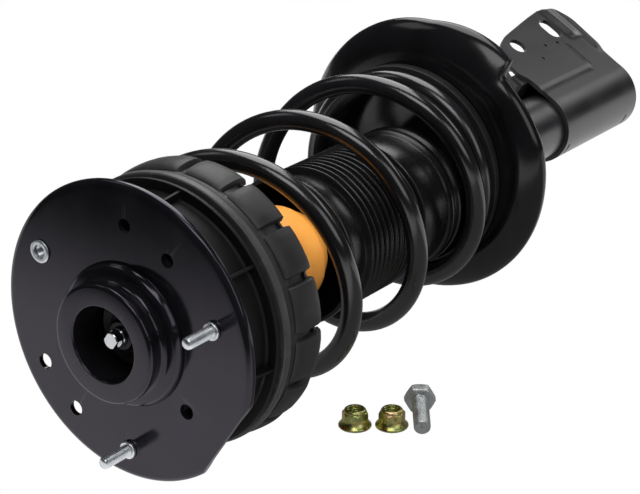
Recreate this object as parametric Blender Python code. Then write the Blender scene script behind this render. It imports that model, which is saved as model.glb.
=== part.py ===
"""A coil-over suspension strut, lying on its side as it is shown for sale.

The strut's own axis is the X axis. The mounting face of the top plate is at X = 0, and the steering
knuckle's bracket is at the far end. Units are metres, and +Z is up.
"""

import math

import bmesh
import bpy
from mathutils import Matrix, Vector

MM = 0.001
GAP = 0.3 * MM
SIDES = 20

# Top plate and boss
PLATE_RADIUS = 97 * MM
PLATE_THICK = 3.5 * MM
PLATE_LIP = 5.0 * MM
CHORD_DISTANCE = 91 * MM
CHORD_ANGLE = math.radians(-146.3)
BOSS_HEIGHT = 20 * MM
BOSS_RADIUS = 38.5 * MM
BOSS_BORE = 24.3 * MM
STUD_RADIUS = 3.9 * MM
STUD_REACH = 24.5 * MM
STUDS = ((72.3 * MM, math.radians(163.2)), (78.0 * MM, math.radians(-90.2)))
INSERT = (77.0 * MM, math.radians(29.7))
PLATE_HOLES = (
    (70.8 * MM, math.radians(92.4), 4.6 * MM),
    (66.7 * MM, math.radians(122.3), 4.6 * MM),
    (61.1 * MM, math.radians(-140.9), 5.0 * MM),
    (77.5 * MM, math.radians(-28.5), 5.2 * MM),
    (76.3 * MM, math.radians(-55.2), 5.0 * MM),
)

# Housing under the plate, and the thrust bearing that the strut steers on
HOUSING_RADIUS = 80 * MM
FLANGE_RADIUS = 87.5 * MM
FLANGE_X = 37 * MM
GUSSETS = 8
GUSSET_ANGLE = math.radians(10)
GUSSET_THICK = 2 * MM
GUSSET_REACH = 3 * MM
BEARING_RADIUS = 47 * MM

# Spring and its two seats. The spring's centre line leans away from the strut's axis
SPRING_RADIUS = 79 * MM
WIRE_RADIUS = 6.9 * MM
LEAN_SLOPE = 0.069
LEAN_ANGLE = math.radians(51.2)
LEAN_START_X = 85 * MM
START_ANGLE = math.radians(148.3)
FIRST_TURN = -1.3
OPEN_FROM = -0.75
CLOSED_FROM = 2.05
LAST_TURN = 3.4
BLEND_TURNS = 0.35
CLOSED_PITCH = 15 * MM
OPEN_PITCH = 80 * MM
OPEN_FROM_X = 72.4 * MM
END_RADIUS = 69 * MM
TAPER_FROM = 1.95
TAPER_TURNS = 0.8
UPPER_SEAT_X = 43 * MM
INSULATOR_X = 50.3 * MM
LOBES = 16
LOBE_GAP = 7 * MM
TAB_ANGLE = math.radians(65)
TAB_END_X = 104 * MM
TAB_WIDTH = 14 * MM
GAP_START_X = 64 * MM
GAP_END_X = 90 * MM
RIM_CENTRE = (6.2 * MM, 19.1 * MM)
RIM_RADIUS = 101 * MM
LOBE_START = 92
LOBE_STEP = 131
LOBE_END = 166
LOBE_RISE = 5.8 * MM
LOBE_DIP = 4 * MM
RIM_SLOPE = 0.6

# Damper
ROD_RADIUS = 10 * MM
ROD_TIP_X = -13 * MM
ROD_SHOULDER_X = 33.5 * MM
PISTON_X = 338 * MM
BUMP_START_X = 40.4 * MM
BUMP_END_X = 172 * MM
BUMP_RADIUS = 34 * MM
BOOT_START_X = 165 * MM
BOOT_END_X = 303 * MM
BOOT_RADIUS = 52 * MM
BOOT_RIBS = 12
TUBE_RADIUS = 24.9 * MM
TUBE_WALL = 2.2 * MM
TUBE_START_X = 277 * MM
TUBE_END_X = 592 * MM
PRESSURE_TUBE_RADIUS = 17.8 * MM

# Knuckle bracket. Its two cheeks are parallel and point along BRACKET_ANGLE from the strut's axis
BRACKET_ANGLE = math.radians(30)
BRACKET_RADIUS = 28.6 * MM
BRACKET_SHEET = 3.4 * MM
BRACKET_START_X = 489 * MM
BRACKET_END_X = 604 * MM
BRACE_START_X = 481 * MM
BRACE_END_X = 590 * MM
# Millimetres along the strut and out along the cheeks. Each bolt hole adds the length of its slot
BRACKET_OUTLINE = (
    (489, -32), (489, 26), (484, 34), (487, 50), (492, 61), (509, 70), (561, 79), (594, 83),
    (604, 61), (602, 38.5), (600, 13.6), (600, -32),
)
BOLT_HOLES = ((516, 58, 0), (571, 61, 7))
BOLT_HOLE_RADIUS = 7.4 * MM

# Loose fasteners, lying on the surface that the strut lies on
FLOOR_Z = -97 * MM
NUT_PLACES = ((138.6 * MM, -73.2 * MM), (152.8 * MM, -92.7 * MM))
NUT_FLATS = 15.5 * MM
NUT_BORE = 5 * MM
BOLT_PLACE = (184 * MM, -93.6 * MM)
BOLT_TURN = math.radians(216.3)
BOLT_PITCH = math.radians(6)
BOLT_HEAD_FLATS = 18.2 * MM
BOLT_HEAD_HEIGHT = 7.4 * MM
BOLT_RADIUS = 5.6 * MM
BOLT_LENGTH = 32 * MM
BOLT_AXIS_HEIGHT = 10 * MM


def clear_scene():
    for old in list(bpy.data.objects):
        bpy.data.objects.remove(old)


def material(name, colour, roughness, metallic=0.0):
    made = bpy.data.materials.new(name)
    made.use_nodes = True
    shader = made.node_tree.nodes["Principled BSDF"]
    shader.inputs["Base Color"].default_value = (*colour, 1)
    shader.inputs["Roughness"].default_value = roughness
    shader.inputs["Metallic"].default_value = metallic
    return made


def empty(name, parent=None, location=(0, 0, 0)):
    made = bpy.data.objects.new(name, None)
    made.empty_display_size = 0.05
    made.location = location
    made.parent = parent
    bpy.context.scene.collection.objects.link(made)
    return made


def finish(name, bm, parent, finish_material, location=(0, 0, 0), smooth=True):
    """Turns a bmesh into an object on its parent, with clean outward normals."""
    bmesh.ops.remove_doubles(bm, verts=bm.verts, dist=0.002 * MM)
    bmesh.ops.recalc_face_normals(bm, faces=bm.faces)
    mesh = bpy.data.meshes.new(name)
    bm.to_mesh(mesh)
    bm.free()
    if smooth:
        mesh.shade_smooth()
        mesh.set_sharp_from_angle(angle=math.radians(35))
    mesh.materials.append(finish_material)
    made = bpy.data.objects.new(name, mesh)
    made.location = location
    made.parent = parent
    bpy.context.scene.collection.objects.link(made)
    return made


def spun(profile, sides=SIDES, bm=None):
    """A bmesh turned round the X axis from (x, radius) points that go round its half section."""
    bm = bm or bmesh.new()
    verts = [bm.verts.new((x, radius, 0)) for x, radius in profile]
    edges = [bm.edges.new((verts[i], verts[(i + 1) % len(verts)])) for i in range(len(verts))]
    on_axis = [edge for edge in edges if all(v.co.y < 0.001 * MM for v in edge.verts)]
    for edge in on_axis:
        edges.remove(edge)
        bm.edges.remove(edge)
    bmesh.ops.spin(
        bm, geom=verts + edges, cent=(0, 0, 0), axis=(1, 0, 0), angle=math.tau, steps=sides,
        use_merge=True,
    )
    return bm


def turned(name, parent, finish_material, profile, x=0.0, sides=SIDES):
    """A turned piece. Its profile is in millimetres, counted from the piece's own place on the axis."""
    points = [(a * MM, radius * MM) for a, radius in profile]
    return finish(name, spun(points, sides), parent, finish_material, location=(x, 0, 0))


def ring(name, parent, finish_material, x, thick, inner, outer, chamfer=0.4, sides=SIDES):
    """A plain ring with chamfered outer corners, in metres but for the chamfer."""
    c = chamfer * MM
    profile = (
        (0, inner), (0, outer - c), (c, outer), (thick - c, outer), (thick, outer - c), (thick, inner),
    )
    return finish(name, spun(profile, sides), parent, finish_material, location=(x, 0, 0))


def prism(bm, outline, low, high, place=None):
    """Adds a closed prism. The outline lies in the XY plane and is raised from low to high in Z."""
    place = place or Matrix.Identity(4)
    bottom = [bm.verts.new(place @ Vector((x, y, low))) for x, y in outline]
    top = [bm.verts.new(place @ Vector((x, y, high))) for x, y in outline]
    bm.faces.new(bottom[::-1])
    bm.faces.new(top)
    for i in range(len(outline)):
        j = (i + 1) % len(outline)
        bm.faces.new((bottom[i], bottom[j], top[j], top[i]))


def cutter(name, bm, parent):
    """A helper that only cuts: it is no part of the strut."""
    made = finish(name, bm, parent, bpy.data.materials["cutter"], smooth=False)
    made.hide_render = True
    made.display_type = "WIRE"
    return made


def boolean(target, tool, operation="DIFFERENCE"):
    modifier = target.modifiers.new(tool.name, "BOOLEAN")
    modifier.operation = operation
    modifier.object = tool
    modifier.solver = "EXACT"


def polar(radius, angle):
    """The point at this radius and angle round the X axis, as (y, z)."""
    return radius * math.cos(angle), radius * math.sin(angle)


def round_hole(bm, radius, place, low, high, sides=20):
    outline = [polar(radius, math.tau * i / sides) for i in range(sides)]
    prism(bm, outline, low, high, place)


def hexagon(across_flats):
    corner = across_flats / math.sqrt(3)
    return [polar(corner, math.radians(60 * i)) for i in range(6)]


# --- top mount -----------------------------------------------------------------------------------

# Both turn a prism so that it is raised along X. ALONG_X also keeps its outline's axes as Y and Z.
X_UP = Matrix.Rotation(math.radians(90), 4, "Y")
ALONG_X = Matrix(((0, 0, 1, 0), (1, 0, 0, 0), (0, 1, 0, 0), (0, 0, 0, 1)))


def mount_plate(parent, finishes):
    """The round plate that bolts to the car, with its rim rolled back and one flat on its edge."""
    rim = PLATE_RADIUS
    profile = (
        (0, BOSS_BORE + 1 * MM), (0, rim - 2.2 * MM), (0.6 * MM, rim - 0.8 * MM), (1.8 * MM, rim),
        (PLATE_LIP, rim), (PLATE_LIP, rim - 2.5 * MM), (PLATE_THICK, rim - 3.6 * MM),
        (PLATE_THICK, BOSS_BORE + 1 * MM),
    )
    plate = finish("mount_plate", spun(profile, 48), parent, finishes["gloss_black"])
    tool = bmesh.new()
    holes = list(PLATE_HOLES)
    holes += [(radius, angle, STUD_RADIUS + 0.7 * MM) for radius, angle in STUDS]
    holes.append((*INSERT, 6.3 * MM))
    for radius, angle, size in holes:
        y, z = polar(radius, angle)
        round_hole(tool, size, Matrix.Translation((0, y, z)) @ X_UP, -0.01, 0.02)
    turn = Matrix.Rotation(CHORD_ANGLE, 4, "X")
    box = ((CHORD_DISTANCE, -0.1), (0.12, -0.1), (0.12, 0.1), (CHORD_DISTANCE, 0.1))
    prism(tool, box, -0.01, 0.02, turn @ ALONG_X)
    boolean(plate, cutter("plate_cutter", tool, parent))


def mount_boss(parent, finishes):
    """The collar round the rod's end: a stepped foot, a neck and a rounded lip."""
    lip = BOSS_RADIUS / MM
    top = -BOSS_HEIGHT / MM
    bore = BOSS_BORE / MM
    profile = (
        (-0.3, bore), (-0.3, lip + 8), (-1.5, lip + 7.4), (-4.2, lip + 6.2), (-5.6, lip + 4), (-6, lip),
        (-8, lip - 2.6), (-12, lip - 2.6), (-14, lip - 0.6), (-16, lip), (top + 1.6, lip),
        (top + 0.4, lip - 0.8), (top, lip - 2), (top, bore + 1.6), (top + 1.2, bore),
    )
    turned("mount_boss", parent, finishes["gloss_black"], profile, sides=30)


def stud(name, parent, finishes, radius, angle):
    y, z = polar(radius, angle)
    tip = -STUD_REACH / MM
    shank = STUD_RADIUS / MM
    profile = (
        (tip, 0), (tip, shank - 1.1), (tip + 1.2, shank), (-2.6, shank), (-2.2, shank + 2),
        (-0.3, shank + 2), (-0.3, shank + 0.3), (3.9, shank + 0.3), (3.9, 7.5), (7.4, 7.5), (7.4, 0),
    )
    made = turned(name, parent, finishes["zinc"], profile, sides=14)
    made.location = (0, y, z)


def threaded_insert(parent, finishes):
    y, z = polar(*INSERT)
    profile = ((-1.6, 4), (-1.6, 7), (-1.1, 7.6), (-0.3, 7.6), (-0.3, 5.9), (10, 5.9), (10, 4))
    made = turned("threaded_insert", parent, finishes["zinc"], profile, sides=16)
    made.location = (0, y, z)


def housing(parent, finishes):
    """The pan under the plate. Thin gussets run out from its hub to its flange."""
    hub = HOUSING_RADIUS / MM
    flange = FLANGE_RADIUS / MM
    bore = BOSS_BORE / MM + 1
    profile = (
        (3.9, bore), (3.9, 56), (11, 58), (11, hub), (36, hub), (37, hub + 1), (37, flange - 0.8),
        (37.6, flange), (39.4, flange), (40, flange - 0.8), (40, 60), (37.2, 58), (37.2, 34),
        (40, 32), (40, bore),
    )
    made = turned("bearing_housing", parent, finishes["filled_plastic"], profile, sides=32)
    tool = bmesh.new()
    for i in range(GUSSETS):
        turn = Matrix.Rotation(GUSSET_ANGLE + math.tau * i / GUSSETS, 4, "X")
        outline = (
            (13 * MM, HOUSING_RADIUS - 3 * MM), (13 * MM, HOUSING_RADIUS + GUSSET_REACH),
            (FLANGE_X + 1 * MM, FLANGE_RADIUS - 1.5 * MM), (FLANGE_X + 1 * MM, HOUSING_RADIUS - 3 * MM),
        )
        prism(tool, outline, -GUSSET_THICK / 2, GUSSET_THICK / 2, turn)
    boolean(made, cutter("gusset_shapes", tool, parent), "UNION")


def rod_fastening(parent, finishes):
    """The rubber bush, its steel sleeve, and the washer and nut that hold the rod's end."""
    bore = BOSS_BORE / MM
    profile = (
        (7.5, 12.6), (6.4, 14), (8.6, 18), (6.4, bore - 1.2), (7.5, bore - 0.3), (31, bore - 0.3),
        (32, 20), (30, 16), (32, 12.6),
    )
    turned("mount_bushing", parent, finishes["rubber"], profile)
    ring("inner_sleeve", parent, finishes["steel"], 5.6 * MM, 27.4 * MM, 6.6 * MM, 12.2 * MM, sides=20)
    ring("rod_washer", parent, finishes["zinc"], 3.3 * MM, 2 * MM, 6.6 * MM, 15 * MM, sides=20)
    hex_nut("rod_nut", parent, finishes["zinc"], across=18 * MM, bore=6.3 * MM, height=7 * MM, x=-4 * MM)


def hex_nut(name, parent, finish_material, across, bore, height, x):
    """A chamfered hexagon nut with its axis along X."""
    bm = bmesh.new()
    prism(bm, hexagon(across), 0, height, X_UP)
    made = finish(name, bm, parent, finish_material, smooth=False)
    made.location = (x, 0, 0)
    corner = across / math.sqrt(3)
    limit = spun(
        (
            (-1 * MM, 0), (-1 * MM, corner - 3 * MM), (1.2 * MM, corner + 0.4 * MM),
            (height - 1.2 * MM, corner + 0.4 * MM), (height + 1 * MM, corner - 3 * MM), (height + 1 * MM, 0),
        ),
        18,
    )
    tool = cutter(name + "_chamfer", limit, parent)
    tool.location = made.location
    boolean(made, tool, "INTERSECT")
    tool = bmesh.new()
    round_hole(tool, bore, X_UP, -2 * MM, height + 2 * MM, 16)
    hole = cutter(name + "_bore", tool, parent)
    hole.location = made.location
    boolean(made, hole)
    return made


def upper_race(parent, finishes):
    middle = BEARING_RADIUS / MM
    profile = (
        (37.5, middle - 7), (37.5, middle + 7), (41.5, middle + 7), (41.5, middle + 4),
        (40.1, middle + 1.5), (40.1, middle - 1.5), (41.5, middle - 4), (41.5, middle - 7),
    )
    turned("bearing_upper_race", parent, finishes["steel"], profile)


# --- damper rod ----------------------------------------------------------------------------------


def piston_rod(parent, finishes):
    """The rod, from its threaded end in the top mount to the piston's spigot."""
    tip = ROD_TIP_X / MM
    shoulder = ROD_SHOULDER_X / MM
    rod = ROD_RADIUS / MM
    end = PISTON_X / MM
    profile = (
        (tip, 0), (tip, 4.6), (tip + 0.8, 5.4), (tip + 6, 5.4), (tip + 6.6, 6), (shoulder, 6),
        (shoulder, rod - 0.6), (shoulder + 0.6, rod), (end - 0.4, rod), (end, rod - 0.4), (end, 5.6),
        (end + 24, 5.6), (end + 24, 0),
    )
    turned("piston_rod", parent, finishes["chrome"], profile, sides=20)


def piston(parent, finishes):
    ring("rebound_stop", parent, finishes["rubber"], 316 * MM, 9 * MM, ROD_RADIUS + GAP, 15 * MM, 1, 20)
    start = PISTON_X + GAP
    profile = (
        (0, 5.9), (0, 14.2), (0.6, 15), (3, 15), (3, 14.2), (11, 14.2), (11, 15), (13.4, 15),
        (14, 14.2), (14, 5.9),
    )
    turned("piston", parent, finishes["steel"], profile, x=start, sides=24)
    band = ((3.3, 14.5), (3.3, 15.8), (10.7, 15.8), (10.7, 14.5))
    turned("piston_band", parent, finishes["dark_plastic"], band, x=start, sides=24)
    hex_nut("piston_nut", parent, finishes["zinc"], 15 * MM, 5.9 * MM, 7 * MM, start + 14.3 * MM)


def bump_stop(parent, finishes):
    """The foam stop that meets the tube at full travel."""
    length = (BUMP_END_X - BUMP_START_X) / MM
    big = BUMP_RADIUS / MM
    profile = [(0, 10.4), (0, big - 8), (2, big - 6), (58, big - 6), (62, big - 9), (66, big - 6)]
    profile += [(72, big - 7.5), (78, big - 3.5), (88, big - 0.8), (100, big), (118, big), (120, big - 1)]
    profile += [(121, big - 3), (122, big - 5), (length - 1, big - 7), (length, big - 9), (length, 10.4)]
    turned("bump_stop", parent, finishes["orange_foam"], profile, x=BUMP_START_X)


# --- spring seat body ----------------------------------------------------------------------------


def bearing_cage(parent, finishes):
    """The ring between the two races of the thrust bearing, which stands for the cage and its balls."""
    middle = BEARING_RADIUS / MM
    profile = (
        (41.9, middle - 4), (40.5, middle - 1.2), (40.5, middle + 1.2), (41.9, middle + 4),
        (46.3, middle + 4), (47.7, middle + 1.2), (47.7, middle - 1.2), (46.3, middle - 4),
    )
    turned("bearing_cage", parent, finishes["dark_plastic"], profile)


def lower_race(parent, finishes):
    middle = BEARING_RADIUS / MM
    profile = (
        (46.7, middle - 7), (46.7, middle - 4), (48.1, middle - 1.5), (48.1, middle + 1.5),
        (46.7, middle + 4), (46.7, middle + 7), (51.5, middle + 7), (51.5, middle - 7),
    )
    turned("bearing_lower_race", parent, finishes["steel"], profile)


def upper_seat(parent, finishes):
    start = UPPER_SEAT_X / MM
    profile = (
        (start, 66), (start, 88.3), (start + 0.9, 89.5), (start + 5.2, 89.5), (start + 6.2, 88.3),
        (start + 6.9, 84), (start + 6.9, 61.6), (start + 13, 61.6), (start + 13, 36),
        (start + 9, 36), (start + 9, 57.5), (start + 3, 57.5), (start + 3, 62),
    )
    turned("upper_spring_seat", parent, finishes["filled_plastic"], profile, sides=32)


def upper_insulator(parent, finishes):
    """The rubber ring on the spring's first turn, with a row of lobes that hold the wire."""
    start = INSULATOR_X / MM
    profile = (
        (start, 62), (start, 88), (start + 2, 91.5), (start + 36, 91.5), (start + 36, 87.8),
        (start + 6.5, 87.8), (start + 6.5, 72), (start + 5, 62),
    )
    made = turned("upper_insulator", parent, finishes["rubber"], profile, sides=48)
    tab = bmesh.new()
    tab_start = INSULATOR_X + 20 * MM
    inner, outer = 87.9 * MM, 91.4 * MM
    outline = ((tab_start, inner), (tab_start, outer), (TAB_END_X, outer), (TAB_END_X, inner))
    prism(tab, outline, -TAB_WIDTH / 2, TAB_WIDTH / 2, Matrix.Rotation(TAB_ANGLE, 4, "X"))
    boolean(made, cutter("tab_shape", tab, parent), "UNION")
    tool = bmesh.new()
    inner, outer = 80 * MM, 96 * MM
    outline = ((GAP_START_X, inner), (GAP_START_X, outer), (GAP_END_X, outer), (GAP_END_X, inner))
    for i in range(LOBES):
        angle = math.tau * i / LOBES
        if abs(angle - TAB_ANGLE) > math.pi / LOBES:
            prism(tool, outline, -LOBE_GAP / 2, LOBE_GAP / 2, Matrix.Rotation(angle, 4, "X"))
    boolean(made, cutter("lobe_gaps", tool, parent))


def blend_rise(turns):
    """How far the wire climbs, in turns of open pitch, while the pitch changes over BLEND_TURNS."""
    return turns * turns / (2 * BLEND_TURNS)


def wire_x(turn):
    """The spring's X at a turn: closed at both ends, with an even pitch between."""
    closed = OPEN_FROM_X + CLOSED_PITCH * (turn - OPEN_FROM)
    extra = OPEN_PITCH - CLOSED_PITCH
    if turn <= OPEN_FROM:
        return closed
    if turn <= OPEN_FROM + BLEND_TURNS:
        return closed + extra * blend_rise(turn - OPEN_FROM)
    open_turns = min(turn, CLOSED_FROM) - OPEN_FROM - BLEND_TURNS / 2
    if turn <= CLOSED_FROM:
        return closed + extra * open_turns
    left = min(turn - CLOSED_FROM, BLEND_TURNS)
    return closed + extra * (open_turns + left - blend_rise(left))


def lean(x):
    """How far the spring's centre line has moved sideways at x, as (y, z)."""
    return polar(LEAN_SLOPE * (x - LEAN_START_X), LEAN_ANGLE)


def coil_radius(turn):
    """The wire's distance from the spring's centre line, which shrinks over the last turns."""
    share = min(1, max(0, (turn - TAPER_FROM) / TAPER_TURNS))
    return SPRING_RADIUS + (END_RADIUS - SPRING_RADIUS) * share * share * (3 - 2 * share)


def wire_point(turn):
    x = wire_x(turn)
    y, z = polar(coil_radius(turn), START_ANGLE + math.tau * turn)
    y_lean, z_lean = lean(x)
    return Vector((x, y + y_lean, z + z_lean))


def coil_spring(parent, finishes):
    steps = round((LAST_TURN - FIRST_TURN) * 16)
    sides = 8
    bm = bmesh.new()
    rings = []
    for i in range(steps + 1):
        turn = FIRST_TURN + (LAST_TURN - FIRST_TURN) * i / steps
        centre = wire_point(turn)
        ahead = (wire_point(turn + 0.001) - wire_point(turn - 0.001)).normalized()
        side = ahead.cross(Vector((1, 0, 0))).normalized()
        up = side.cross(ahead)
        corners = []
        for j in range(sides):
            across, along = polar(WIRE_RADIUS, math.tau * j / sides)
            corners.append(bm.verts.new(centre + side * across + up * along))
        rings.append(corners)
    for first, second in zip(rings, rings[1:]):
        for j in range(sides):
            k = (j + 1) % sides
            bm.faces.new((first[j], first[k], second[k], second[j]))
    bm.faces.new(rings[0])
    bm.faces.new(rings[-1][::-1])
    finish("coil_spring", bm, parent, finishes["powder_coat"])


def dust_boot(parent, finishes):
    """The bellows between the bump stop and the lower seat, open at both ends."""
    length = (BOOT_END_X - BOOT_START_X) / MM
    big = BOOT_RADIUS / MM
    first_rib, last_rib = 22, 91
    outer = [(0, big - 2), (0.8, big - 1), (4, big - 1), (5, big - 3), (14, big - 5)]
    pitch = (last_rib - first_rib) / BOOT_RIBS
    for i in range(BOOT_RIBS):
        outer += [(first_rib + i * pitch, big - 5), (first_rib + (i + 0.5) * pitch, big)]
    outer += [(last_rib, big - 5), (last_rib + 4, big - 4), (length - 6, big - 4)]
    outer += [(length - 5, big - 1), (length, big - 1)]
    inner = [(length, big - 8), (16, big - 8), (12, big - 6.5), (1, big - 4)]
    turned("dust_boot", parent, finishes["dark_plastic"], outer + inner, x=BOOT_START_X, sides=20)


# --- strut tube body -----------------------------------------------------------------------------


def strut_tube(parent, finishes):
    length = (TUBE_END_X - TUBE_START_X) / MM
    outer = TUBE_RADIUS / MM
    inner = (TUBE_RADIUS - TUBE_WALL) / MM
    profile = (
        (0, 18), (0, outer - 1.5), (1.5, outer), (length - 3, outer), (length, outer - 3), (length, 0),
        (length - 4, 0), (length - 4, inner), (2.2, inner), (2.2, 18),
    )
    turned("strut_tube", parent, finishes["satin_black"], profile, x=TUBE_START_X)
    ring("strike_cap", parent, finishes["dark_plastic"], 271.8 * MM, 4.9 * MM, 11 * MM, 24.4 * MM, 1)


def damper_insides(parent, finishes):
    inner = TUBE_RADIUS - TUBE_WALL - GAP
    ring("rod_seal", parent, finishes["rubber"], 279.6 * MM, 4.4 * MM, ROD_RADIUS + 0.2 * MM, inner)
    guide = ((0, 10.2), (0, 22.4), (7, 22.4), (7.4, 15.6), (14, 15.6), (14, 10.2))
    turned("rod_guide", parent, finishes["steel"], guide, x=284.4 * MM)
    bore = PRESSURE_TUBE_RADIUS - 1.6 * MM
    steel = finishes["bare_steel"]
    ring("pressure_tube", parent, steel, 292.2 * MM, 270 * MM, bore, PRESSURE_TUBE_RADIUS, 0.2)
    valve = ((0, 0), (0, 15.6), (6, 15.6), (6, 22), (16, 22), (20, 19), (20, 16), (12, 14), (12, 0))
    turned("base_valve", parent, finishes["steel"], valve, x=557 * MM)


def rim_radius(angle):
    """The lower seat's edge: round, but for one lobe that ends in a step."""
    degrees = math.degrees(angle) % 360
    if LOBE_START < degrees <= LOBE_STEP:
        share = (degrees - LOBE_START) / (LOBE_STEP - LOBE_START)
        return RIM_RADIUS + LOBE_RISE * math.sin(share * math.pi / 2)
    if LOBE_STEP < degrees < LOBE_END:
        share = (degrees - LOBE_STEP) / (LOBE_END - LOBE_STEP)
        return RIM_RADIUS - LOBE_DIP * math.cos(share * math.pi / 2)
    return RIM_RADIUS


def seat_loop(bm, x, radius, share, reach, sides=48):
    """One ring of the lower seat. Its centre moves off the axis by share, and its edge by reach."""
    ring_verts = []
    for i in range(sides):
        angle = math.tau * i / sides
        extra = reach * (rim_radius(angle) - RIM_RADIUS)
        y, z = polar(radius + extra, angle)
        centre_y, centre_z = share * RIM_CENTRE[0], share * RIM_CENTRE[1]
        ring_verts.append(bm.verts.new((x + RIM_SLOPE * extra, y + centre_y, z + centre_z)))
    return ring_verts


def bridge_closed(bm, loops):
    """Joins each ring to the next, and the last to the first."""
    for first, second in zip(loops, loops[1:] + loops[:1]):
        count = len(first)
        for i in range(count):
            j = (i + 1) % count
            bm.faces.new((first[i], first[j], second[j], second[i]))


def lower_seat(parent, finishes):
    """The dished seat, off centre from the tube, with a welded collar round the tube."""
    sections = (
        (316, 25.2, 0, 0), (316, 29, 0, 0), (324.6, 38, 0.2, 0), (325.2, 82, 0.9, 0),
        (327.6, 91, 1, 0.3), (332, 98, 1, 0.9), (336, 101, 1, 1), (339, 101, 1, 1),
        (339.6, 99.5, 1, 1), (335, 95.5, 1, 0.8), (330.6, 88.5, 1, 0.3), (328.6, 82, 0.9, 0),
        (328, 38, 0.2, 0), (346, 29, 0, 0), (346, 25.2, 0, 0),
    )
    bm = bmesh.new()
    loops = [seat_loop(bm, x * MM, radius * MM, share, reach) for x, radius, share, reach in sections]
    bridge_closed(bm, loops)
    finish("lower_spring_seat", bm, parent, finishes["gloss_black"])


def lower_insulator(parent, finishes):
    """The pad under the last turn: its upper face climbs with the wire."""
    steps = 36
    floor = 324.2 * MM
    first_turn = LAST_TURN - 0.95
    y_lean, z_lean = lean(floor)
    bm = bmesh.new()
    sections = []
    for i in range(steps + 1):
        turn = first_turn + 0.95 * i / steps
        top = min(wire_x(turn) + WIRE_RADIUS + GAP, floor - 0.4 * MM)
        angle = START_ANGLE + math.tau * turn
        corners = []
        inner, outer = coil_radius(turn) - 7 * MM, coil_radius(turn) + 7 * MM
        for x, radius in ((top, inner), (top, outer), (floor, outer), (floor, inner)):
            y, z = polar(radius, angle)
            corners.append(bm.verts.new((x, y + y_lean, z + z_lean)))
        sections.append(corners)
    for first, second in zip(sections, sections[1:]):
        for j in range(4):
            k = (j + 1) % 4
            bm.faces.new((first[j], first[k], second[k], second[j]))
    bm.faces.new(sections[0])
    bm.faces.new(sections[-1][::-1])
    finish("lower_insulator", bm, parent, finishes["rubber"])


def bracket_place():
    """Axes for the bracket: X along the strut, Y out along the cheeks, Z across them."""
    return Matrix.Rotation(BRACKET_ANGLE, 4, "X")


def knuckle_bracket(parent, finishes):
    """A sheet bent round the tube, whose two cheeks take the knuckle between them."""
    outer = BRACKET_RADIUS
    inner = BRACKET_RADIUS - BRACKET_SHEET
    reach = 90 * MM
    bends = 18
    outer_bend = [polar(outer, math.pi * (0.5 + i / bends)) for i in range(bends + 1)]
    inner_bend = [polar(inner, math.pi * (1.5 - i / bends)) for i in range(bends + 1)]
    outline = [(reach, outer), *outer_bend, (reach, -outer), (reach, -inner), *inner_bend, (reach, inner)]
    bm = bmesh.new()
    start, end = BRACKET_START_X - 12 * MM, BRACKET_END_X + 2 * MM
    prism(bm, outline, start, end, bracket_place() @ ALONG_X)
    made = finish("knuckle_bracket", bm, parent, finishes["satin_black"])
    shape = bmesh.new()
    prism(shape, [(x * MM, y * MM) for x, y in BRACKET_OUTLINE], -0.04, 0.04, bracket_place())
    boolean(made, cutter("bracket_outline", shape, parent), "INTERSECT")
    holes = bmesh.new()
    for x, y, slot in BOLT_HOLES:
        points = []
        for i in range(20):
            angle = math.tau * (i + 0.5) / 20
            stretch = math.copysign(slot / 2, math.sin(angle))
            across, along = polar(BOLT_HOLE_RADIUS, angle)
            points.append((x * MM + across, (y + stretch) * MM + along))
        prism(holes, points, -0.04, 0.04, bracket_place())
    boolean(made, cutter("bolt_hole_cutter", holes, parent))


def bracket_brace(parent, finishes):
    """The inner sheet that closes the bracket over the tube, with a lip on each side."""
    half = (BRACKET_RADIUS - BRACKET_SHEET - GAP) / MM
    sheet = 3
    outline = (
        (26.0, -half), (37, -half), (37, -half + sheet), (29, -half + sheet), (29, half - sheet),
        (37, half - sheet), (37, half), (26.0, half),
    )
    bm = bmesh.new()
    points = [(y * MM, z * MM) for y, z in outline]
    prism(bm, points, BRACE_START_X, BRACE_END_X, bracket_place() @ ALONG_X)
    finish("bracket_brace", bm, parent, finishes["satin_black"], smooth=False)


# --- loose fasteners -----------------------------------------------------------------------------


def flange_nut(name, parent, finishes):
    """A flange lock nut that stands on its flange, with its axis upright."""
    to_z = Matrix.Rotation(math.radians(-90), 4, "Y")
    bore = NUT_BORE / MM
    profile = (
        (0, bore), (0, 10.6), (0.5, 11), (1.4, 11), (2.6, 9.6), (4, 8.4), (11.8, 7.4), (12.8, 6.4),
        (12.8, bore),
    )
    bm = spun([(a * MM, radius * MM) for a, radius in profile], 20)
    bmesh.ops.transform(bm, matrix=to_z, verts=bm.verts)
    made = finish(name, bm, parent, finishes["yellow_zinc"])
    tool = bmesh.new()
    prism(tool, hexagon(NUT_FLATS), 2 * MM, 11 * MM)
    shape = cutter(name + "_hexagon", tool, parent)
    boolean(made, shape, "UNION")
    tool = bmesh.new()
    round_hole(tool, NUT_BORE, Matrix.Identity(4), -2 * MM, 16 * MM, 20)
    boolean(made, cutter(name + "_bore", tool, parent))


def loose_bolt(parent, finishes):
    """A hexagon bolt lying on its head and its tip. Its own axis is X, head first."""
    head = BOLT_HEAD_HEIGHT / MM
    shank = BOLT_RADIUS / MM
    end = head + BOLT_LENGTH / MM
    profile = (
        (head - 1, 0), (head - 1, shank), (end - 1.4, shank), (end, shank - 1.4), (end, 0),
    )
    made = turned("loose_bolt", parent, finishes["zinc"], profile, sides=16)
    tool = bmesh.new()
    prism(tool, [(y, x) for x, y in hexagon(BOLT_HEAD_FLATS)], 0, BOLT_HEAD_HEIGHT, X_UP)
    boolean(made, cutter("bolt_head_shape", tool, parent), "UNION")


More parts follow.
